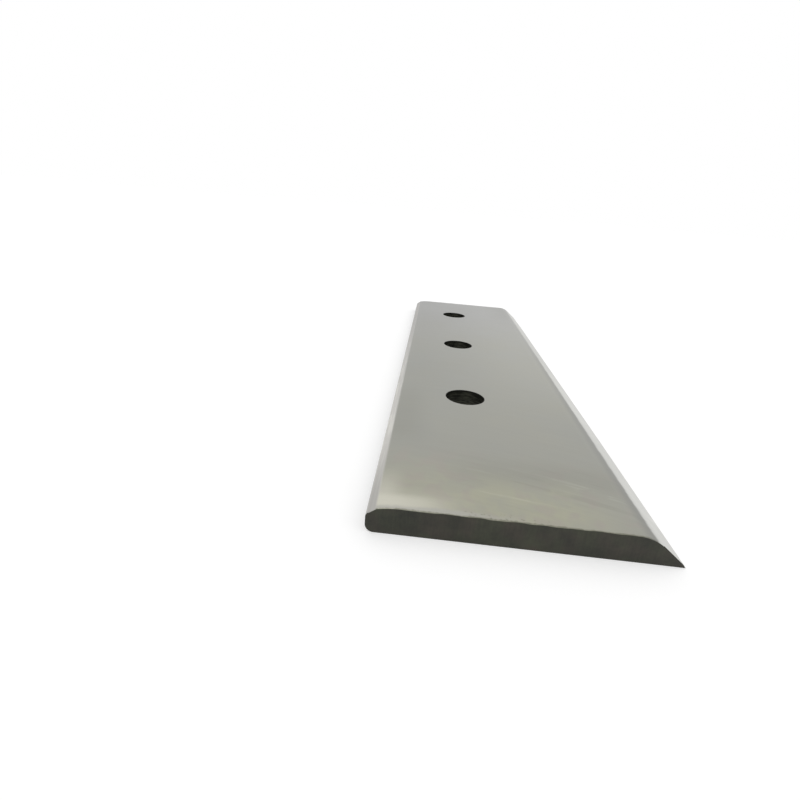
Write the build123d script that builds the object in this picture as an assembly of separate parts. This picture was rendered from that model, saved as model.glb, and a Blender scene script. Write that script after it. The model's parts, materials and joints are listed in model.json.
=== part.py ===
from build123d import *

import os
from math import radians, tan

# A wood chipper blade: one flat bar of hardened tool steel, ground on both broad faces, with one long
# cutting bevel, a chamfered back edge and a line of plain bolt holes along the bar.
# The origin is the centre of the underside. +X runs across the bar to the cutting edge, +Y runs along it,
# away from the end that has the longer stretch before its first hole, and +Z rises to the bevelled face.
# Lengths are in millimetres and angles in degrees.

# The bar
LENGTH = 350.0
WIDTH = 100.0
THICKNESS = 10.0

# The cutting side: the angle between bevel and underside, and the round where the bevel meets the top face
BEVEL_ANGLE = 39.0
KNEE_RADIUS = 12.0

# The back edge: a chamfer, the shallow curve that eases it into the top face, and the rounds above and below
# the upright back face
CHAMFER_WIDTH = 3.2
CHAMFER_ANGLE = 36.0
EASE_RUN = 8.0
EASE_DROP = 0.9
UPPER_BACK_RADIUS = 2.0
LOWER_BACK_RADIUS = 2.8

# The bolt holes
HOLE_COUNT = 3
HOLE_DIAMETER = 19.0
HOLE_PITCH = 98.0
FIRST_HOLE_FROM_NEAR_END = 98.0
HOLES_FROM_BACK = 35.5
HOLE_EDGE_BREAK = 0.4

# Where these sizes put the parts of the outline
BACK_X = -WIDTH / 2
CUTTING_X = WIDTH / 2
NEAR_END_Y = -LENGTH / 2
MIDDLE_HOLE_Y = NEAR_END_Y + FIRST_HOLE_FROM_NEAR_END + HOLE_PITCH * (HOLE_COUNT - 1) / 2


def cross_section():
    """The shape of the bar seen from its end: X across the bar, Y of the sketch upwards."""
    cutting_edge = (CUTTING_X, 0)
    knee = (CUTTING_X - THICKNESS / tan(radians(BEVEL_ANGLE)), THICKNESS)
    ease_start = (BACK_X + CHAMFER_WIDTH + EASE_RUN, THICKNESS)
    chamfer_top = (BACK_X + CHAMFER_WIDTH, THICKNESS - EASE_DROP)
    chamfer_foot = (BACK_X, chamfer_top[1] - CHAMFER_WIDTH * tan(radians(CHAMFER_ANGLE)))
    lower_back = (BACK_X, 0)

    with BuildSketch(Plane.XZ) as section:
        with BuildLine():
            Polyline(cutting_edge, knee, ease_start)
            TangentArc(ease_start, chamfer_top, tangent=(-1, 0))
            Polyline(chamfer_top, chamfer_foot, lower_back, cutting_edge)
        make_face()
        corners = section.vertices()
        fillet(corners.sort_by_distance(Plane.XZ.from_local_coords(knee))[0], radius=KNEE_RADIUS)
        corners = section.vertices()
        fillet(corners.sort_by_distance(Plane.XZ.from_local_coords(chamfer_foot))[0], radius=UPPER_BACK_RADIUS)
        corners = section.vertices()
        fillet(corners.sort_by_distance(Plane.XZ.from_local_coords(lower_back))[0], radius=LOWER_BACK_RADIUS)
    return section.sketch


def blade():
    """The whole blade: the section drawn out to its length, then drilled, with every hole's rim broken."""
    with BuildPart() as bar:
        extrude(cross_section(), amount=LENGTH / 2, both=True)
        middle_hole = Location((BACK_X + HOLES_FROM_BACK, MIDDLE_HOLE_Y, THICKNESS))
        with Locations(middle_hole):
            with GridLocations(0, HOLE_PITCH, 1, HOLE_COUNT):
                Hole(radius=HOLE_DIAMETER / 2)
        rims = bar.edges().filter_by(GeomType.CIRCLE).filter_by(Plane.XY)
        chamfer(rims, length=HOLE_EDGE_BREAK)
    return bar.part


os.makedirs("parts", exist_ok=True)
export_step(blade(), "parts/blade.step")
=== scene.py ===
import json
from math import atan, atan2, cos, pi, radians, sin, tan, tanh

import bmesh
import bpy
from mathutils import Matrix, Vector, noise


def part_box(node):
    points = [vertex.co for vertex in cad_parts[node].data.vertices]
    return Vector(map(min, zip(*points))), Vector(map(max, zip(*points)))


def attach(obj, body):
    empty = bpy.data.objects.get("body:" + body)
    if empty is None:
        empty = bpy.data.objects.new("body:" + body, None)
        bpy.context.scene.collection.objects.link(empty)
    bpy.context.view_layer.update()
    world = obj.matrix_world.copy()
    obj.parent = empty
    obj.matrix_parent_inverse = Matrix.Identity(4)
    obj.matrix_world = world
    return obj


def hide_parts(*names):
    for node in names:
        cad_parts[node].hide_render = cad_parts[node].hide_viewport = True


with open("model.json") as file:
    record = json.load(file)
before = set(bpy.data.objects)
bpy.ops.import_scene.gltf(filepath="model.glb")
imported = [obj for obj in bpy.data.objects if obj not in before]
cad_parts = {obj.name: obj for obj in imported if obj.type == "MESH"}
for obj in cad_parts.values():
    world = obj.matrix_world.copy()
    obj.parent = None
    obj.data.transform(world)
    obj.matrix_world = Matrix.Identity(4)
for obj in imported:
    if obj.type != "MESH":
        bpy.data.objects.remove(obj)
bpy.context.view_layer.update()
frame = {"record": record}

bl_info = {
    "name": "Wood Chipper Blade",
    "version": (1, 0, 0),
    "blender": (4, 5, 0),
    "location": "3D View > Sidebar > Chipper Blade",
    "description": "Builds a ground steel chipper blade and the plain stage that it lies on",
    "category": "Add Mesh",
}

MM = 0.001

# The blade's own box and bolt holes, as the frame states them
LOW, HIGH = (Vector(corner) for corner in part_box("blade"))
BOLT_HOLES = [mount for mount in frame["record"]["mounts"] if mount["kind"] == "bore"]
HOLE_CENTRES = [Vector(mount["pos_m"]) for mount in BOLT_HOLES]
HOLE_RADIUS = BOLT_HOLES[0]["dims"]["r_mm"] * MM
HOLE_LINE_X = HOLE_CENTRES[0].x

# Material slots of the blade's mesh
# The broken edge round each cut end has its own slot, painted nearly black: a painted shade that outlines the
# ends
FACE, UNDERSIDE, CUT_END, HOLE_WALL, END_RIM_SHADE = range(5)

# Segments of the rounds along the bar, and of the holes and their rims
KNEE_SEGMENTS = 24
EASE_SEGMENTS = 10
UPPER_BACK_SEGMENTS = 8
LOWER_BACK_SEGMENTS = 12
HOLE_SEGMENTS = 96
RIM_SEGMENTS = 3

# Half the square that is cut round each hole
HALF_CELL = HOLE_RADIUS * 1.5

# How near to each other vertices are merged, and how near a vertex is to a place to count as lying there
MERGE = 0.03 * MM
TOUCHING = 0.001 * MM

# How far a face's normal has to go one way for it to count as looking squarely, mostly or somewhat that way
SQUARELY = 0.999
MOSTLY = 0.7
SOMEWHAT = 0.3

# The turn between two faces, in radians, below which they are made one, and from which their edge is sharp
NO_TURN = 0.01
SHARP_TURN = radians(50)

# The hand-broken ends: spacing of their vertices, length of their waves, and the increment, lacunarity and
# octaves of the noise that makes those waves
END_STEP = 1.2 * MM
END_WAVE = 7 * MM
END_NOISE = (0.7, 2.1, 4)

# The nicks in them: how many to a wave, how sudden, and where they fall
NICKS_TO_WAVE = 0.9
NICK_STEEPNESS = 6
NICK_SEED = Vector((3.7, 1.3, 8.1))

# How deep waves and nicks go, as shares of the wander, and how much of its width the broken edge may lose
WAVE_DEPTH = 0.5
NICK_DEPTH = 0.6
MOST_LOST = 0.7

# The share of the ease curve over which the broken edge stays straight, and how far in from the cutting edge
# its rubbed corners reach, in depths of the rubbing
STRAIGHT_ON_EASE = 0.7
CORNER_REACH = 4

# The face grinding wheel, whose rim crosses the bar in arcs
WHEEL_RADIUS = 253 * MM
WHEEL_X = -60 * MM

# The floor: half its side, its gap under the blade, and what it lacks of white in the studio's light, which
# is added only where it is seen
FLOOR_REACH = 40.0
FLOOR_GAP = 0.05 * MM
FLOOR_LIFT = 0.26

# Where the soft lamp stands as seen from the blade, and how wide it looks
KEY_DIRECTION = Vector((-0.30, -0.45, 0.84))
KEY_ANGLE = radians(35)

# The camera's place and its turns: to the side, down and about its own line of sight
CAMERA_PLACE = Vector((-36.48, -291.50, 94.90)) * MM
CAMERA_HEADING = radians(2.78)
CAMERA_DIP = radians(22.74)
CAMERA_ROLL = radians(4.75)


class BladeSizes(bpy.types.PropertyGroup):
    """Sizes of the blade that its box doesn't give."""

    bevel_angle: bpy.props.FloatProperty(
        name="Bevel angle", description="Angle between the cutting bevel and the underside",
        default=radians(39), subtype="ANGLE")
    knee_radius: bpy.props.FloatProperty(
        name="Knee radius", description="Round where the cutting bevel meets the top face",
        default=12 * MM, unit="LENGTH")
    chamfer_width: bpy.props.FloatProperty(
        name="Chamfer width", description="How far the back edge's chamfer reaches over the bar",
        default=3.2 * MM, unit="LENGTH")
    chamfer_angle: bpy.props.FloatProperty(
        name="Chamfer angle", description="Slope of the back edge's chamfer",
        default=radians(36), subtype="ANGLE")
    ease_run: bpy.props.FloatProperty(
        name="Ease run", description="Width of the shallow curve between chamfer and top face",
        default=8 * MM, unit="LENGTH")
    ease_drop: bpy.props.FloatProperty(
        name="Ease drop", description="How far that curve falls below the top face",
        default=0.9 * MM, unit="LENGTH")
    upper_back_radius: bpy.props.FloatProperty(
        name="Upper back radius", description="Round between the chamfer and the upright back face",
        default=2.0 * MM, unit="LENGTH")
    lower_back_radius: bpy.props.FloatProperty(
        name="Lower back radius", description="Round along the lower back edge",
        default=2.8 * MM, unit="LENGTH")
    rim_break: bpy.props.FloatProperty(
        name="Rim break", description="Width of the broken edge round the mouths of the bolt holes",
        default=0.25 * MM, unit="LENGTH")
    end_break: bpy.props.FloatProperty(
        name="End break", description="Mean width of the hand-broken edge round each cut end",
        default=0.22 * MM, unit="LENGTH")
    end_wander: bpy.props.FloatProperty(
        name="End wander", description="How far that hand-broken edge strays from a straight line",
        default=0.28 * MM, unit="LENGTH")
    corner_blunting: bpy.props.FloatProperty(
        name="Corner blunting", description="How far the cutting edge's two corners are rubbed back",
        default=0.5 * MM, unit="LENGTH")
    hone_width: bpy.props.FloatProperty(
        name="Hone width", description="Width of the honed strip along the cutting edge",
        default=1.0 * MM, unit="LENGTH")


class BladeColours(bpy.types.PropertyGroup):
    """Colours of the blade's finishes, as sRGB hex."""

    ground: bpy.props.StringProperty(
        name="Ground face", description="Surface-ground broad faces", default="9A9B96")
    ground_warm: bpy.props.StringProperty(
        name="Ground face, warm", description="Warmer clouds in the ground faces", default="9C9B91")
    ground_cool: bpy.props.StringProperty(
        name="Ground face, cool", description="Ground face towards the far end, clean of any film",
        default="9A9A98")
    film: bpy.props.StringProperty(
        name="Coolant film", description="Ground face where coolant has dried to a warm film",
        default="A8A792")
    blush: bpy.props.StringProperty(
        name="Bare spots", description="Spots between the film, faintly rosy beside it", default="A09A93")
    dull: bpy.props.StringProperty(
        name="Dull band", description="Duller stretch of the face beside the film", default="8F8F87")
    # Partly painted shade: small dark nicks, and a dark frayed line along the cut ends that is painted shade
    # outlining them
    fleck_and_end_shade: bpy.props.StringProperty(
        name="Flecks", description="Small dark nicks and the frayed line along the cut ends",
        default="77776A")
    # Painted highlight: the brighter patch by the near end's corner at the back, where the soft lamp's
    # reflection would fall
    painted_corner_highlight: bpy.props.StringProperty(
        name="Wheel lead-in", description="Brighter corner where the grinding wheel comes onto the bar",
        default="CBC9BC")
    rubbed: bpy.props.StringProperty(
        name="Rubbed band", description="Narrow band along the near end, rubbed clean of the film",
        default="ACABA4")
    underside: bpy.props.StringProperty(
        name="Underside", description="Finely ground seating face", default="BEB9B2")
    # Painted shade: this colour darkens a line along the round before the cutting bevel, and more faintly the
    # face towards the cutting side at the far end
    knee: bpy.props.StringProperty(
        name="Knee", description="Coarser, duller round just before the cutting bevel", default="82827C")
    bevel: bpy.props.StringProperty(
        name="Bevel", description="Freshly ground cutting bevel", default="BABAB6")
    # Partly painted highlight: over the near half of the bevel this colour is a painted highlight; the
    # brighter strips are the wheel's own marks
    bevel_streaks_and_highlight: bpy.props.StringProperty(
        name="Bevel, light", description="Near half of the bevel and the strips that its wheel left brighter",
        default="D0D0CC")
    hone: bpy.props.StringProperty(
        name="Hone", description="Honed strip along the cutting edge", default="BDBDB9")
    chamfer: bpy.props.StringProperty(
        name="Chamfer", description="Chamfer along the back edge", default="C0BEB9")
    chamfer_light: bpy.props.StringProperty(
        name="Chamfer, light", description="Brighter streaks that the belt left along it", default="D4D3CC")
    chamfer_end: bpy.props.StringProperty(
        name="Chamfer, ends", description="Duller ends of that chamfer", default="A3A19D")
    cut_end: bpy.props.StringProperty(
        name="Cut end", description="Sawn ends and back edge, darkened by hardening", default="3B3D30")
    cut_end_dark: bpy.props.StringProperty(
        name="Cut end, dark", description="Darkest patches of the sawn ends", default="252620")
    cut_end_brown: bpy.props.StringProperty(
        name="Cut end, brown", description="Brownish spots of the sawn ends", default="3D3931")
    # Painted shade: near-black colours that outline each cut end along its broken edge
    end_rim_shade: bpy.props.StringProperty(
        name="Broken edge", description="Hand-broken edge round each cut end", default="242419")
    end_rim_shade_dark: bpy.props.StringProperty(
        name="Broken edge, dark", description="Darkest patches of that broken edge", default="15150E")
    hole_wall: bpy.props.StringProperty(
        name="Hole wall", description="Drilled walls of the bolt holes", default="3F4036")
    hole_wall_dark: bpy.props.StringProperty(
        name="Hole wall, dark", description="Rims and darkest rings of the drilled walls", default="181812")


class StageSettings(bpy.types.PropertyGroup):
    """The floor, the light and the camera."""

    floor: bpy.props.StringProperty(
        name="Floor", description="Colour of the floor", default="E8E8E8")
    sky_strength: bpy.props.FloatProperty(
        name="Sky strength", description="Light that comes evenly from all sides", default=0.75)
    key_strength: bpy.props.FloatProperty(
        name="Key strength", description="Strength of the soft lamp above the near end", default=0.8)
    lens: bpy.props.FloatProperty(
        name="Lens", description="Focal length for a 36 mm wide picture", default=20.6, unit="CAMERA")


def linear(hex_colour):
    """An sRGB hex colour as the linear RGBA that shaders take."""
    channels = [int(hex_colour[i:i + 2], 16) / 255 for i in (0, 2, 4)]
    return [c / 12.92 if c <= 0.04045 else ((c + 0.055) / 1.055) ** 2.4 for c in channels] + [1.0]


def add_node(tree, kind, settings=None, links=None):
    """Adds a node: settings are its properties and its inputs' values, links the outputs that feed them."""
    node = tree.nodes.new(kind)
    for name, value in (settings or {}).items():
        if isinstance(name, int) or name in node.inputs:
            node.inputs[name].default_value = value
        else:
            setattr(node, name, value)
    for name, output in (links or {}).items():
        tree.links.new(output, node.inputs[name])
    return node


def new_material(name):
    """A new material and its node tree, with no node in it yet."""
    material = bpy.data.materials.new(name)
    material.use_nodes = True
    material.node_tree.nodes.clear()
    return material, material.node_tree


def strokes(tree, along, across, length, width, detail=2.0):
    """Grinding marks as noise drawn out into strokes, from two distances: along the stroke and across it."""
    run = add_node(tree, "ShaderNodeMath", {"operation": "DIVIDE", 1: length}, {0: along})
    step = add_node(tree, "ShaderNodeMath", {"operation": "DIVIDE", 1: width}, {0: across})
    place = add_node(tree, "ShaderNodeCombineXYZ", links={"X": run.outputs[0], "Y": step.outputs[0]})
    marks = add_node(tree, "ShaderNodeTexNoise", {
        "noise_dimensions": "2D", "Scale": 1.0, "Detail": detail, "Roughness": 0.6},
        {"Vector": place.outputs[0]})
    return marks.outputs["Fac"]


def wheel_marks(tree, x, y):
    """Fine and broad marks of the face grinding wheel, whose rim crosses the bar in arcs of one radius.

    The real marks are about 0.05 mm apart, too fine to show, so the fine ones are drawn 0.5 mm apart.
    """
    from_wheel = add_node(tree, "ShaderNodeMath", {"operation": "SUBTRACT", 1: WHEEL_X}, {0: x}).outputs[0]
    squared = add_node(tree, "ShaderNodeMath", {"operation": "MULTIPLY"},
                       {0: from_wheel, 1: from_wheel}).outputs[0]
    left = add_node(tree, "ShaderNodeMath", {"operation": "SUBTRACT", 0: WHEEL_RADIUS ** 2},
                    {1: squared}).outputs[0]
    reach = add_node(tree, "ShaderNodeMath", {"operation": "SQRT"}, {0: left}).outputs[0]
    feed = add_node(tree, "ShaderNodeMath", {"operation": "SUBTRACT"}, {0: y, 1: reach}).outputs[0]
    fine = strokes(tree, x, feed, 40 * MM, 0.5 * MM)
    broad = strokes(tree, x, feed, 34 * MM, 3.2 * MM, detail=3.0)
    return fine, broad


def soft_area(tree, *fades):
    """1 inside an area, 0 outside. Each fade is a value, where it counts as outside and where as inside."""
    area = None
    for value, outside, inside in fades:
        fade = add_node(tree, "ShaderNodeMapRange", {
            "interpolation_type": "SMOOTHSTEP", "From Min": outside, "From Max": inside},
            {"Value": value}).outputs[0]
        if area is None:
            area = fade
        else:
            area = add_node(tree, "ShaderNodeMath", {"operation": "MULTIPLY"}, {0: area, 1: fade}).outputs[0]
    return area


def from_back(distance):
    """The X that lies a distance in millimetres from the back face."""
    return LOW.x + distance * MM


def from_near_end(distance):
    """The Y that lies a distance in millimetres from the near end."""
    return LOW.y + distance * MM


def near_end_layers(colours, x, y, ragged_y, blots, tints, flecks):
    """What coolant, grinding and handling left by the near end, and a painted highlight by its corner at the
    back: colours, how much they cover, and fades.
    """
    return (
        (colours.film, 0.45, (y, from_near_end(48), from_near_end(6)), (x, from_back(96), from_back(60))),
        (colours.film, 0.5, (y, from_near_end(38), from_near_end(8)), (blots, 0.40, 0.60),
         (x, from_back(80), from_back(58)), (x, from_back(4), from_back(30))),
        (colours.blush, 0.45, (y, from_near_end(46), from_near_end(30)), (tints, 0.46, 0.62)),
        (colours.dull, 0.5, (y, from_near_end(44), from_near_end(27)),
         (y, from_near_end(14), from_near_end(30)), (x, from_back(18), from_back(40))),
        (colours.dull, 0.5, (y, from_near_end(120), from_near_end(85)),
         (y, from_near_end(38), from_near_end(58)), (x, from_back(22), from_back(6))),
        # Painted highlight: three brighter patches by the near end's corner at the back
        (colours.painted_corner_highlight, 0.62, (x, from_back(13), from_back(4)), (y, from_near_end(28), from_near_end(5))),
        (colours.painted_corner_highlight, 0.3, (x, from_back(38), from_back(12)), (y, from_near_end(15), from_near_end(3))),
        (colours.painted_corner_highlight, 0.7, (x, from_back(30), from_back(9)),
         (ragged_y, from_near_end(11.5), from_near_end(7))),
        (colours.rubbed, 0.75, (ragged_y, from_near_end(5.0), from_near_end(3.2)),
         (x, from_back(55), from_back(25))),
        (colours.fleck_and_end_shade, 0.5, (flecks, 0.60, 0.68), (y, from_near_end(4), from_near_end(1.5)),
         (x, from_back(22), from_back(30)), (x, from_back(62), from_back(46))),
    )


def face_tone(tree, x, y, fine, broad, clouds, blots):
    """How bright each place of the ground steel is beside its colour, where 1 leaves the colour as it is."""
    # Away from the near end the face is brighter towards its cutting side and darker towards its back
    brighter = soft_area(tree, (x, from_back(0), from_back(88)))
    farther = soft_area(tree, (y, from_near_end(60), from_near_end(150)))
    brighter = add_node(tree, "ShaderNodeMath", {"operation": "SUBTRACT", 1: 0.5}, {0: brighter}).outputs[0]
    tone = add_node(tree, "ShaderNodeMath", {"operation": "MULTIPLY", 1: 0.19}, {0: brighter}).outputs[0]
    tone = add_node(tree, "ShaderNodeMath", {"operation": "MULTIPLY_ADD", 2: 1.0},
                    {0: tone, 1: farther}).outputs[0]

    # By the near end the wheel's broad marks stand out in patches, as lighter crests and darker troughs
    by_near_end = ((y, from_near_end(40), from_near_end(22)), (y, from_near_end(4), from_near_end(12)),
                   (x, from_back(22), from_back(48)))
    crests = soft_area(tree, (broad, 0.54, 0.72), (blots, 0.44, 0.58), *by_near_end)
    troughs = soft_area(tree, (broad, 0.44, 0.28), (blots, 0.60, 0.46), *by_near_end)
    for marks, middle, swing in ((fine, 0.5, 0.04), (broad, 0.5, 0.04), (clouds, 0.5, 0.12),
                                 (crests, 0.0, 0.11), (troughs, 0.0, -0.06)):
        marks = add_node(tree, "ShaderNodeMath", {"operation": "SUBTRACT", 1: middle}, {0: marks}).outputs[0]
        tone = add_node(tree, "ShaderNodeMath", {"operation": "MULTIPLY_ADD", 1: swing},
                        {0: marks, 2: tone}).outputs[0]
    return tone


def ground_steel(colours, sizes):
    """Surface-ground tool steel: satin, with the wheel's faint arcs and a warm coolant film at the near end.

    The bevel, ground across by a cup wheel, is brighter and rougher, with a painted highlight over its near
    half, and the belt-ground chamfer is streaked along the bar. Their marks too are drawn coarser than the
    real ones, so that they show.
    """
    material, tree = new_material("surface_ground_tool_steel")
    place = add_node(tree, "ShaderNodeTexCoord").outputs["Object"]
    split = add_node(tree, "ShaderNodeSeparateXYZ", links={0: place})
    x, y = split.outputs["X"], split.outputs["Y"]
    fine, broad = wheel_marks(tree, x, y)
    clouds, blots, tints, flecks = [
        add_node(tree, "ShaderNodeTexNoise", {"Scale": 1 / size, "Detail": detail, "Roughness": 0.55},
                 {"Vector": place}).outputs["Fac"]
        for size, detail in ((30 * MM, 3.0), (11 * MM, 3.0), (7 * MM, 1.0), (1.3 * MM, 1.0))]
    waver = strokes(tree, x, y, 60 * MM, 5 * MM, detail=3.0)
    cup_marks = strokes(tree, x, y, 30 * MM, 1.6 * MM, detail=4.0)
    belt_streaks = strokes(tree, y, x, 25 * MM, 1.1 * MM)
    belt_marks = strokes(tree, y, x, 30 * MM, 0.2 * MM)
    off_middle = add_node(tree, "ShaderNodeMath", {"operation": "ABSOLUTE"}, {0: y}).outputs[0]
    ragged_x, ragged_y, end_shade_line = [
        add_node(tree, "ShaderNodeMath", {"operation": "MULTIPLY_ADD", 1: distance},
                 {0: marks, 2: value}).outputs[0]
        for value, marks, distance in ((x, waver, 0.9 * MM), (y, blots, 4 * MM),
                                       (off_middle, flecks, 0.8 * MM))]

    # Where knee, hone and chamfer begin, and the fades onto bevel and chamfer
    knee = HIGH.x - (HIGH.z - LOW.z) / tan(sizes.bevel_angle)
    knee_start = knee - sizes.knee_radius * tan(sizes.bevel_angle / 2)
    hone = HIGH.x - sizes.hone_width
    chamfer_top = LOW.x + sizes.chamfer_width
    bevel = (ragged_x, knee + 1.1 * MM, knee + 2.7 * MM)
    chamfer = (x, chamfer_top + 0.3 * MM, chamfer_top - 0.7 * MM)

    # Each layer of colour: what it is, how much it covers, and the fades that say where it lies
    layers = near_end_layers(colours, x, y, ragged_y, blots, tints, flecks) + (
        (colours.ground_cool, 0.9, (y, from_near_end(170), from_near_end(330))),
        # Painted shade: a dark frayed line along both cut ends
        (colours.fleck_and_end_shade, 0.9, (end_shade_line, HIGH.y - 0.2 * MM, HIGH.y + 0.4 * MM)),
        # Painted shade in the knee colour: faint towards the cutting side at the far end, full along the
        # round before the cutting bevel
        (colours.knee, 0.4, (x, from_back(60), from_back(90)), (y, from_near_end(260), from_near_end(330))),
        (colours.knee, 1.0, (x, knee_start, knee + 0.9 * MM), (y, from_near_end(400), from_near_end(60))),
        (colours.bevel, 1.0, bevel),
        # Painted highlight over the near half of the bevel
        (colours.bevel_streaks_and_highlight, 0.75, bevel, (y, from_near_end(200), from_near_end(70))),
        (colours.bevel_streaks_and_highlight, 0.45, bevel, (cup_marks, 0.36, 0.64)),
        (colours.hone, 1.0, (x, hone - 0.1 * MM, hone + 0.1 * MM)),
        (colours.chamfer, 1.0, chamfer),
        (colours.chamfer_light, 0.6, chamfer, (belt_streaks, 0.48, 0.62)),
        (colours.chamfer_end, 0.8, chamfer, (y, from_near_end(50), from_near_end(4))),
        (colours.chamfer_end, 1.0, chamfer, (y, from_near_end(100), from_near_end(290))),
    )
    face = add_node(tree, "ShaderNodeMix", {
        "data_type": "RGBA", 6: linear(colours.ground), 7: linear(colours.ground_warm)},
        {0: clouds}).outputs[2]
    for colour, most, *fades in layers:
        cover = add_node(tree, "ShaderNodeMath", {"operation": "MULTIPLY", 1: most},
                         {0: soft_area(tree, *fades)}).outputs[0]
        face = add_node(tree, "ShaderNodeMix", {"data_type": "RGBA", 7: linear(colour)},
                        {0: cover, 6: face}).outputs[2]
    colour = add_node(tree, "ShaderNodeVectorMath", {"operation": "SCALE"},
                      {0: face, "Scale": face_tone(tree, x, y, fine, broad, clouds, blots)}).outputs[0]

    # The bevel and the chamfer have their own marks in relief, and the bevel is the roughest
    on_bevel = soft_area(tree, bevel)
    on_chamfer = soft_area(tree, chamfer)
    height = add_node(tree, "ShaderNodeMix", {"data_type": "FLOAT"},
                      {0: on_bevel, 2: fine, 3: cup_marks}).outputs[0]
    height = add_node(tree, "ShaderNodeMix", {"data_type": "FLOAT"},
                      {0: on_chamfer, 2: height, 3: belt_marks}).outputs[0]
    relief = add_node(tree, "ShaderNodeBump", {"Strength": 1.0, "Distance": 0.003 * MM},
                      {"Height": height}).outputs[0]
    satin = add_node(tree, "ShaderNodeMapRange", {"To Min": 0.30, "To Max": 0.40},
                     {"Value": clouds}).outputs[0]
    roughness = add_node(tree, "ShaderNodeMix", {"data_type": "FLOAT", 3: 0.55},
                         {0: on_bevel, 2: satin}).outputs[0]
    shader = add_node(tree, "ShaderNodeBsdfPrincipled", {"Metallic": 1.0},
                      {"Base Color": colour, "Roughness": roughness, "Normal": relief})
    add_node(tree, "ShaderNodeOutputMaterial", links={"Surface": shader.outputs[0]})
    return material


def seat_steel(colours):
    """Fine-ground tool steel of the seating face: smooth, warm grey and nearly free of marks."""
    material, tree = new_material("fine_ground_seat_steel")
    place = add_node(tree, "ShaderNodeTexCoord").outputs["Object"]
    split = add_node(tree, "ShaderNodeSeparateXYZ", links={0: place})
    fine, broad = wheel_marks(tree, split.outputs["X"], split.outputs["Y"])
    tone = add_node(tree, "ShaderNodeMapRange", {"To Min": 0.95, "To Max": 1.05}, {"Value": broad}).outputs[0]
    face = add_node(tree, "ShaderNodeMix", {
        "data_type": "RGBA", 6: linear(colours.underside), 7: linear(colours.ground)}, {0: fine}).outputs[2]
    colour = add_node(tree, "ShaderNodeVectorMath", {"operation": "SCALE"},
                      {0: face, "Scale": tone}).outputs[0]
    relief = add_node(tree, "ShaderNodeBump", {"Strength": 1.0, "Distance": 0.002 * MM},
                      {"Height": fine}).outputs[0]
    shader = add_node(tree, "ShaderNodeBsdfPrincipled", {"Metallic": 1.0, "Roughness": 0.3},
                      {"Base Color": colour, "Normal": relief})
    add_node(tree, "ShaderNodeOutputMaterial", links={"Surface": shader.outputs[0]})
    return material


def cut_steel(name, dark, light, brown):
    """Sawn and hardened tool steel: a thin, blotched oxide, olive to brown, over the saw's faint marks.

    The saw's marks are drawn 0.6 mm apart, a little coarser than a saw leaves them, so that they show.
    """
    material, tree = new_material(name)
    place = add_node(tree, "ShaderNodeTexCoord").outputs["Object"]
    split = add_node(tree, "ShaderNodeSeparateXYZ", links={0: place})
    patches, spots, grain = [
        add_node(tree, "ShaderNodeTexNoise", {"Scale": 1 / size, "Detail": detail, "Roughness": 0.6},
                 {"Vector": place}).outputs["Fac"]
        for size, detail in ((13 * MM, 3.0), (8 * MM, 1.0), (0.8 * MM, 1.0))]
    saw = strokes(tree, split.outputs["Z"], split.outputs["X"], 14 * MM, 0.6 * MM)
    marks = add_node(tree, "ShaderNodeMix", {"data_type": "FLOAT", 0: 0.5}, {2: grain, 3: saw}).outputs[0]
    mixed = add_node(tree, "ShaderNodeMix", {"data_type": "FLOAT", 0: 0.25},
                     {2: patches, 3: marks}).outputs[0]
    tone = add_node(tree, "ShaderNodeMapRange", {"From Min": 0.36, "From Max": 0.64},
                    {"Value": mixed}).outputs[0]
    rusty = soft_area(tree, (spots, 0.38, 0.66))
    oxide = add_node(tree, "ShaderNodeMix", {
        "data_type": "RGBA", 6: linear(light), 7: linear(brown)}, {0: rusty}).outputs[2]
    colour = add_node(tree, "ShaderNodeMix", {"data_type": "RGBA", 6: linear(dark)},
                      {0: tone, 7: oxide}).outputs[2]
    relief = add_node(tree, "ShaderNodeBump", {"Strength": 1.0, "Distance": 0.006 * MM},
                      {"Height": mixed}).outputs[0]
    shader = add_node(tree, "ShaderNodeBsdfPrincipled", {"Metallic": 0.4, "Roughness": 0.55},
                      {"Base Color": colour, "Normal": relief})
    add_node(tree, "ShaderNodeOutputMaterial", links={"Surface": shader.outputs[0]})
    return material


def hole_steel(colours):
    """Drilled steel: rings round the wall and a nearly black rim, left from hardening like the cut ends.

    The rings are drawn 0.8 mm apart, coarser than a drill's feed leaves them, so that they show.
    """
    material, tree = new_material("drilled_hardened_steel")
    place = add_node(tree, "ShaderNodeTexCoord").outputs["Object"]
    split = add_node(tree, "ShaderNodeSeparateXYZ", links={0: place})
    rings = strokes(tree, split.outputs["X"], split.outputs["Z"], 5 * MM, 0.8 * MM)
    ringed = soft_area(tree, (rings, 0.35, 0.65), (split.outputs["Z"], HIGH.z - 0.5 * MM, HIGH.z - 1.6 * MM))
    colour = add_node(tree, "ShaderNodeMix", {
        "data_type": "RGBA", 6: linear(colours.hole_wall_dark), 7: linear(colours.hole_wall)},
        {0: ringed}).outputs[2]
    shader = add_node(tree, "ShaderNodeBsdfPrincipled", {"Metallic": 0.7, "Roughness": 0.45},
                      {"Base Color": colour})
    add_node(tree, "ShaderNodeOutputMaterial", links={"Surface": shader.outputs[0]})
    return material


def seen_directly(tree):
    """1 for rays that show a surface to the eye, straight, mirrored or through glass, and 0 for others."""
    path = add_node(tree, "ShaderNodeLightPath")
    seen = path.outputs["Is Camera Ray"]
    for ray in ("Is Glossy Ray", "Is Transmission Ray"):
        seen = add_node(tree, "ShaderNodeMath", {"operation": "MAXIMUM"},
                        {0: seen, 1: path.outputs[ray]}).outputs[0]
    return seen


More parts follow.
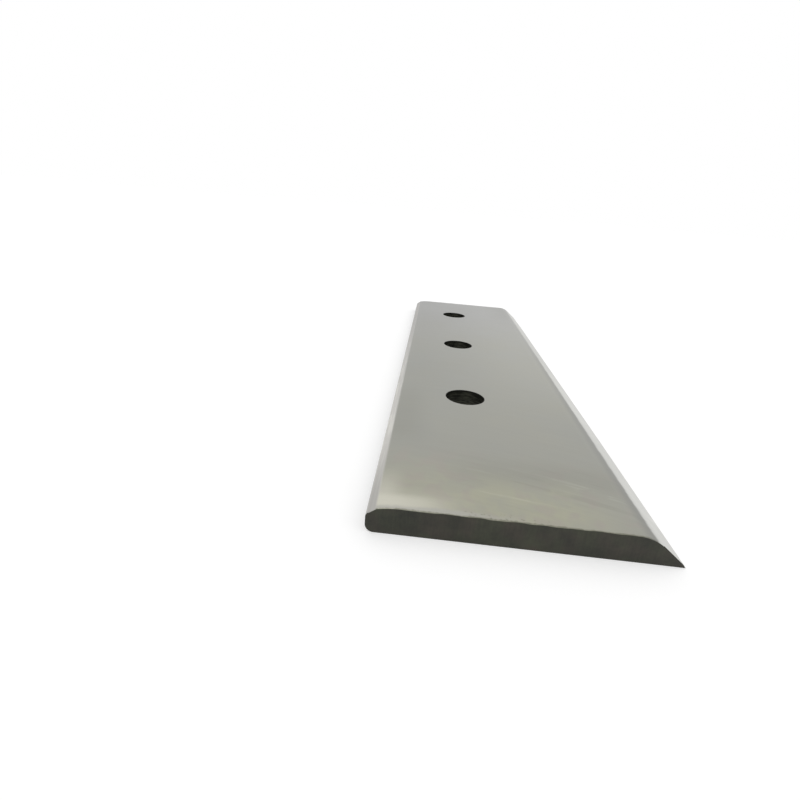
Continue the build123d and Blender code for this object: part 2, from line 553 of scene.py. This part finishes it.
def ease_arc_radius(sizes):
    """Radius of the shallow arc that leaves the top face level and falls to the chamfer."""
    return (sizes.ease_run ** 2 + sizes.ease_drop ** 2) / (2 * sizes.ease_drop)


def section_corners(sizes):
    """Corners of the bar's section before any is rounded, anticlockwise from the cutting edge."""
    ease_angle = 2 * atan(sizes.ease_drop / sizes.ease_run)
    ease_tangent = ease_arc_radius(sizes) * tan(ease_angle / 2)
    chamfer_top = LOW.x + sizes.chamfer_width
    chamfer_top_z = HIGH.z - sizes.ease_drop
    return [
        (HIGH.x, LOW.z),
        (HIGH.x - (HIGH.z - LOW.z) / tan(sizes.bevel_angle), HIGH.z),
        (chamfer_top + sizes.ease_run - ease_tangent, HIGH.z),
        (chamfer_top, chamfer_top_z),
        (LOW.x, chamfer_top_z - sizes.chamfer_width * tan(sizes.chamfer_angle)),
        (LOW.x, LOW.z),
    ]


def long_edge(bm, x, z):
    """The edge that runs the whole length of the bar at x, z."""
    for edge in bm.edges:
        ends = [v.co for v in edge.verts]
        if all(abs(co.x - x) < TOUCHING and abs(co.z - z) < TOUCHING for co in ends):
            return edge
    raise ValueError("no edge runs along the bar there")


def round_edge(bm, edge, radius, segments):
    """Rounds an edge to a radius: the bevel starts where the arc touches both faces."""
    offset = radius * tan(edge.calc_face_angle() / 2)
    bmesh.ops.bevel(bm, geom=[edge], offset=offset, offset_type="OFFSET", segments=segments,
                    profile=0.5, affect="EDGES", material=-1, clamp_overlap=True)


def bar_blank(sizes):
    """The bar without holes: its section drawn at the near end, extruded, and its long edges rounded."""
    bm = bmesh.new()
    corners = section_corners(sizes)
    face = bm.faces.new([bm.verts.new((x, LOW.y, z)) for x, z in corners])
    extruded = bmesh.ops.extrude_face_region(bm, geom=[face])["geom"]
    bmesh.ops.translate(bm, verts=[g for g in extruded if isinstance(g, bmesh.types.BMVert)],
                        vec=(0, HIGH.y - LOW.y, 0))
    bmesh.ops.recalc_face_normals(bm, faces=bm.faces)
    round_edge(bm, long_edge(bm, *corners[1]), sizes.knee_radius, KNEE_SEGMENTS)
    # A hair under its full radius, the arc stops short of the chamfer's top edge, and the merge joins the two
    round_edge(bm, long_edge(bm, *corners[2]), ease_arc_radius(sizes) * 0.999, EASE_SEGMENTS)
    round_edge(bm, long_edge(bm, *corners[4]), sizes.upper_back_radius, UPPER_BACK_SEGMENTS)
    round_edge(bm, long_edge(bm, *corners[5]), sizes.lower_back_radius, LOWER_BACK_SEGMENTS)
    bmesh.ops.remove_doubles(bm, verts=bm.verts, dist=MERGE)
    return bm


def cut_cells(bm):
    """Cuts the bar along planes that box in each bolt hole."""
    planes = [(Vector((HOLE_LINE_X + side * HALF_CELL, 0, 0)), Vector((1, 0, 0))) for side in (-1, 1)]
    for centre in HOLE_CENTRES:
        planes += [(Vector((0, centre.y + side * HALF_CELL, 0)), Vector((0, 1, 0))) for side in (-1, 1)]
    for point, normal in planes:
        everything = bm.verts[:] + bm.edges[:] + bm.faces[:]
        bmesh.ops.bisect_plane(bm, geom=everything, plane_co=point, plane_no=normal)


def drill(bm, centre, rim_break):
    """Opens one bolt hole through the bar and breaks its two rims."""
    rings = []
    for z in (HIGH.z, LOW.z):
        middle = Vector((centre.x, centre.y, z))
        disc = min(bm.faces, key=lambda face: (face.calc_center_median() - middle).length)
        bmesh.ops.subdivide_edges(bm, edges=disc.edges[:], cuts=HOLE_SEGMENTS // 4 - 1)
        bmesh.ops.inset_region(bm, faces=[disc], thickness=rim_break)
        by_angle = sorted(disc.verts, key=lambda v: atan2(v.co.y - middle.y, v.co.x - middle.x))
        for step, vert in enumerate(by_angle):
            angle = atan2(*(by_angle[0].co - middle).yx) + 2 * pi * step / HOLE_SEGMENTS
            vert.co = middle + HOLE_RADIUS * Vector((cos(angle), sin(angle), 0))
        rings += disc.edges[:]
        bmesh.ops.delete(bm, geom=[disc], context="FACES_ONLY")
    wall = bmesh.ops.bridge_loops(bm, edges=rings)["faces"]
    bmesh.ops.recalc_face_normals(bm, faces=bm.faces)
    for face in wall:
        face.material_index = HOLE_WALL
    rims = bmesh.ops.bevel(bm, geom=rings, offset=rim_break, offset_type="OFFSET", segments=RIM_SEGMENTS,
                           profile=0.5, affect="EDGES", material=-1, clamp_overlap=True)["faces"]
    for face in rims:
        face.material_index = HOLE_WALL


def break_ends(bm, sizes):
    """Breaks the edges round both cut ends, the upper one unevenly, and blunts the cutting edge's corners."""
    width, wander, blunting = sizes.end_break, sizes.end_wander, sizes.corner_blunting
    flat_from_x = LOW.x + sizes.chamfer_width + sizes.ease_run * STRAIGHT_ON_EASE
    flat_to_x = section_corners(sizes)[1][0] - sizes.knee_radius * tan(sizes.bevel_angle / 2)
    for end_y in (LOW.y, HIGH.y):
        on_end = [e for e in bm.edges if all(abs(v.co.y - end_y) < TOUCHING for v in e.verts)]
        bmesh.ops.dissolve_edges(bm, edges=[e for e in on_end if e.calc_face_angle() < NO_TURN])
        outline = min(bm.faces, key=lambda face: abs(face.calc_center_median().y - end_y))
        for edge in outline.edges[:]:
            cuts = int(edge.calc_length() / END_STEP)
            if cuts:
                bmesh.ops.subdivide_edges(bm, edges=[edge], cuts=cuts)
        made = bmesh.ops.bevel(bm, geom=outline.edges[:], offset=width, offset_type="OFFSET", segments=2,
                               profile=0.5, affect="EDGES", material=-1, clamp_overlap=False)
        bm.normal_update()
        # Painted shade: the broken edge's faces that don't look up take the nearly black slot, outlining the
        # end
        for face in made["faces"]:
            face.material_index = FACE if face.normal.z > SOMEWHAT else END_RIM_SHADE
        for vert in made["verts"]:
            from_flat = min(vert.co.x - flat_from_x, flat_to_x - vert.co.x)
            if vert.co.z > HIGH.z - 1.01 * width and from_flat > 0:
                place = vert.co.xz.to_3d() / END_WAVE
                place.y = end_y
                nicks = tanh(NICK_STEEPNESS * noise.noise(place * NICKS_TO_WAVE + NICK_SEED))
                stray = wander * (WAVE_DEPTH * noise.fractal(place, *END_NOISE) + NICK_DEPTH * nicks)
                growth = 1 + max(-MOST_LOST, stray / width) * min(1, from_flat / END_WAVE)
                corner = Vector((vert.co.x, end_y, HIGH.z))
                vert.co = corner + (vert.co - corner) * growth
            near_corner = max(0, 1 - (HIGH.x - vert.co.x) / (CORNER_REACH * blunting))
            vert.co.x -= blunting * near_corner ** 2


def paint_faces(bm):
    """Gives each face that has no finish of its own yet the slot of one, by where it looks and lies."""
    bm.normal_update()
    for face in bm.faces:
        if face.material_index != FACE:
            continue
        low = face.calc_center_median().z < (LOW.z + HIGH.z) / 2
        on_back = face.normal.x < -SQUARELY or (face.normal.x < -MOSTLY and low)
        if abs(face.normal.y) > SQUARELY or on_back:
            face.material_index = CUT_END
        elif face.normal.z < -MOSTLY:
            face.material_index = UNDERSIDE


class MESH_OT_chipper_blade(bpy.types.Operator):
    """Build the chipper blade over its CAD solid"""

    bl_idname = "mesh.chipper_blade"
    bl_label = "Build chipper blade"

    def execute(self, context):
        sizes = context.scene.blade_sizes
        colours = context.scene.blade_colours
        bm = bar_blank(sizes)
        cut_cells(bm)
        for centre in HOLE_CENTRES:
            drill(bm, centre, sizes.rim_break)
        break_ends(bm, sizes)
        paint_faces(bm)
        bmesh.ops.recalc_face_normals(bm, faces=bm.faces)
        for face in bm.faces:
            face.smooth = True
        for edge in bm.edges:
            edge.smooth = edge.calc_face_angle(pi) < SHARP_TURN
        mesh = bpy.data.meshes.new("ground_blade")
        bm.to_mesh(mesh)
        bm.free()
        sawn = cut_steel("sawn_hardened_steel", colours.cut_end_dark, colours.cut_end, colours.cut_end_brown)
        # Painted shade: the broken edge's material is the sawn steel in near-black colours
        broken = cut_steel("broken_edge_painted_shade", colours.end_rim_shade_dark, colours.end_rim_shade, colours.end_rim_shade)
        ground, seat, drilled = ground_steel(colours, sizes), seat_steel(colours), hole_steel(colours)
        for material in (ground, seat, sawn, drilled, broken):
            mesh.materials.append(material)
        blade = bpy.data.objects.new("ground_blade", mesh)
        context.scene.collection.objects.link(blade)
        shading = blade.modifiers.new("flat faces stay flat", "WEIGHTED_NORMAL")
        shading.keep_sharp = True
        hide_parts("blade")
        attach(blade, "root")
        return {"FINISHED"}


class SCENE_OT_blade_stage(bpy.types.Operator):
    """Lay the floor and set the light and the camera"""

    bl_idname = "scene.blade_stage"
    bl_label = "Set blade stage"

    def execute(self, context):
        scene = context.scene
        stage = scene.blade_stage_settings
        bm = bmesh.new()
        bmesh.ops.create_grid(bm, x_segments=1, y_segments=1, size=FLOOR_REACH)
        bmesh.ops.translate(bm, verts=bm.verts, vec=(0, 0, LOW.z - FLOOR_GAP))
        mesh = bpy.data.meshes.new("floor")
        bm.to_mesh(mesh)
        bm.free()
        floor = bpy.data.objects.new("floor", mesh)
        scene.collection.objects.link(floor)
        material, tree = new_material("pale_floor")
        lift = add_node(tree, "ShaderNodeMath", {"operation": "MULTIPLY", 1: FLOOR_LIFT},
                        {0: seen_directly(tree)})
        glow = add_node(tree, "ShaderNodeEmission", {"Color": (1, 1, 1, 1)}, {"Strength": lift.outputs[0]})
        paint = add_node(tree, "ShaderNodeBsdfDiffuse", {"Color": linear(stage.floor)})
        both = add_node(tree, "ShaderNodeAddShader", links={0: glow.outputs[0], 1: paint.outputs[0]})
        add_node(tree, "ShaderNodeOutputMaterial", links={"Surface": both.outputs[0]})
        mesh.materials.append(material)

        world = bpy.data.worlds.new("studio")
        world.use_nodes = True
        tree = world.node_tree
        tree.nodes.clear()
        strength = add_node(tree, "ShaderNodeMix", {"data_type": "FLOAT", 2: stage.sky_strength, 3: 1.0},
                            {0: seen_directly(tree)})
        background = add_node(tree, "ShaderNodeBackground", {"Color": (1, 1, 1, 1)},
                              {"Strength": strength.outputs[0]})
        add_node(tree, "ShaderNodeOutputWorld", links={"Surface": background.outputs[0]})
        scene.world = world

        lamp = bpy.data.lights.new("key", "SUN")
        lamp.energy = stage.key_strength
        lamp.angle = KEY_ANGLE
        key = bpy.data.objects.new("key", lamp)
        key.rotation_euler = KEY_DIRECTION.to_track_quat("Z", "Y").to_euler()
        scene.collection.objects.link(key)

        camera_data = bpy.data.cameras.new("camera")
        camera_data.lens = stage.lens
        camera_data.clip_start = 1 * MM
        camera = bpy.data.objects.new("camera", camera_data)
        turn = (Matrix.Rotation(CAMERA_HEADING, 4, "Z") @ Matrix.Rotation(pi / 2 - CAMERA_DIP, 4, "X")
                @ Matrix.Rotation(CAMERA_ROLL, 4, "Z"))
        camera.matrix_world = Matrix.Translation(CAMERA_PLACE) @ turn
        scene.collection.objects.link(camera)
        scene.camera = camera
        scene.view_settings.view_transform = "Standard"
        return {"FINISHED"}


class VIEW3D_PT_chipper_blade(bpy.types.Panel):
    """Lists the blade's and the stage's settings and the operators that build them"""

    bl_label = "Wood Chipper Blade"
    bl_space_type = "VIEW_3D"
    bl_region_type = "UI"
    bl_category = "Chipper Blade"

    def draw(self, context):
        scene = context.scene
        for operator, settings in ((MESH_OT_chipper_blade, (scene.blade_sizes, scene.blade_colours)),
                                   (SCENE_OT_blade_stage, (scene.blade_stage_settings,))):
            box = self.layout.box()
            box.operator(operator.bl_idname)
            for group in settings:
                for name in group.bl_rna.properties.keys():
                    if name not in ("rna_type", "name"):
                        box.prop(group, name)


CLASSES = [BladeSizes, BladeColours, StageSettings, MESH_OT_chipper_blade, SCENE_OT_blade_stage,
           VIEW3D_PT_chipper_blade]


def register():
    for cls in CLASSES:
        bpy.utils.register_class(cls)
    bpy.types.Scene.blade_sizes = bpy.props.PointerProperty(type=BladeSizes)
    bpy.types.Scene.blade_colours = bpy.props.PointerProperty(type=BladeColours)
    bpy.types.Scene.blade_stage_settings = bpy.props.PointerProperty(type=StageSettings)


def unregister():
    del bpy.types.Scene.blade_stage_settings
    del bpy.types.Scene.blade_colours
    del bpy.types.Scene.blade_sizes
    for cls in reversed(CLASSES):
        bpy.utils.unregister_class(cls)


def main():
    register()
    bpy.ops.scene.blade_stage()
    bpy.ops.mesh.chipper_blade()


if __name__ == "__main__":
    main()
